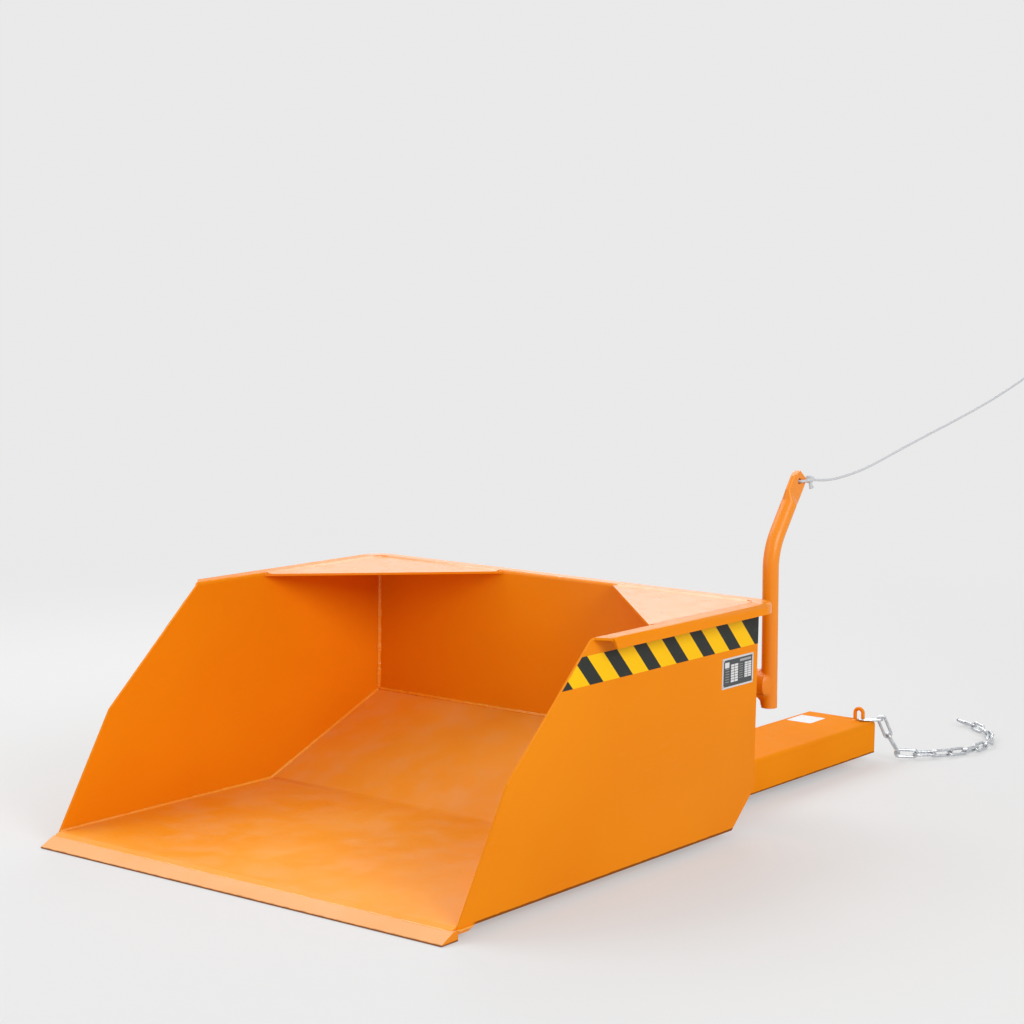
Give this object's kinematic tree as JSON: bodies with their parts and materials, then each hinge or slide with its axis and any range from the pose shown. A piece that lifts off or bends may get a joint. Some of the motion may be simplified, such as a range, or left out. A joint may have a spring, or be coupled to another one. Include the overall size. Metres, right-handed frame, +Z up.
{
  "type": "forklift tipping bucket",
  "caption": "Orange sheet-steel tipping bucket for fork lift trucks: open front with a cutting edge, fork pockets behind, a rope-pulled release lever and a safety chain.",
  "frame": {"origin": "on the ground, in the middle of the cutting edge's underside", "axes": "+X to the bucket's right seen from behind the lip looking rearwards along +Y, +Y from the lip to the rear along the fork pockets, +Z up"},
  "size_m": [1.112, 2.5685, 0.9677],
  "materials": {
    "orange_paint": "glossy powder coat",
    "hazard_print": "printed film with black slanting stripes",
    "bare_aluminium": "satin",
    "bare_steel": "turned",
    "zinc": "zinc plated",
    "bronze": "turned",
    "rope_fibre": "laid synthetic fibre",
    "label_film": "blank film"
  },
  "bodies": {
    "frame": {"fork_pocket_left": "orange_paint", "fork_pocket_right": "orange_paint", "pocket_straps": "orange_paint", "hinge_plate": "orange_paint", "frame_hinge_ears": "orange_paint", "pivot_pins": "bare_steel", "pivot_washers": "bare_steel", "split_pins": "zinc", "rear_cross_beam": "orange_paint", "rear_tie_bar": "orange_paint", "pocket_skids": "orange_paint", "bucket_stops": "orange_paint", "latch_uprights": "orange_paint", "bearing_housings": "orange_paint", "bearing_bushes": "bronze", "chain_eye": "orange_paint", "safety_chain": "zinc", "snap_hook": "zinc", "snap_hook_pin": "zinc", "pocket_label": "label_film"},
    "bucket": {"floor_plate": "orange_paint", "rear_wall": "orange_paint", "side_wall_left": "orange_paint", "side_wall_right": "orange_paint", "rim_corner_left": "orange_paint", "rim_corner_right": "orange_paint", "corner_gusset_left": "orange_paint", "corner_gusset_right": "orange_paint", "cutting_edge": "orange_paint", "edge_backing_strip": "orange_paint", "wear_bars": "orange_paint", "ramp_ribs": "orange_paint", "bucket_hinge_lugs": "orange_paint", "pivot_bushes": "bronze", "catch_backing_plates": "orange_paint", "catch_lugs": "orange_paint", "catch_pins": "bare_steel", "hazard_band_left": "hazard_print", "hazard_band_right": "hazard_print", "rating_plate": "bare_aluminium", "plate_rivets": "bare_aluminium"},
    "lever": {"release_shaft": "orange_paint", "shaft_plugs": "orange_paint", "shaft_collars": "orange_paint", "collar_screws": "bare_steel", "latch_hooks": "orange_paint", "release_lever": "orange_paint", "rope_knot": "rope_fibre", "pull_rope": "rope_fibre", "rope_end_loop": "rope_fibre"},
    "snap_gate": {"snap_hook_gate": "zinc"}
  },
  "joints": [
    {"name": "bucket_tip", "type": "hinge", "parent": "frame", "child": "bucket", "pos_m": [0, 0.836, 0.05], "axis": [1, 0, 0], "range_deg": [0, 50]},
    {"name": "lever_pull", "type": "hinge", "parent": "frame", "child": "lever", "pos_m": [0, 1.158, 0.297], "axis": [-1, 0, 0], "range_deg": [-12, 15]},
    {"name": "snap_gate_swing", "type": "hinge", "parent": "frame", "child": "snap_gate", "pos_m": [0.39429, 2.32604, 0.01496], "axis": [-0.1837, -0.3835, -0.9051], "range_deg": [0, 22], "stiffness_Nm_per_rad": 0.02, "springref_deg": -22.92}
  ]
}
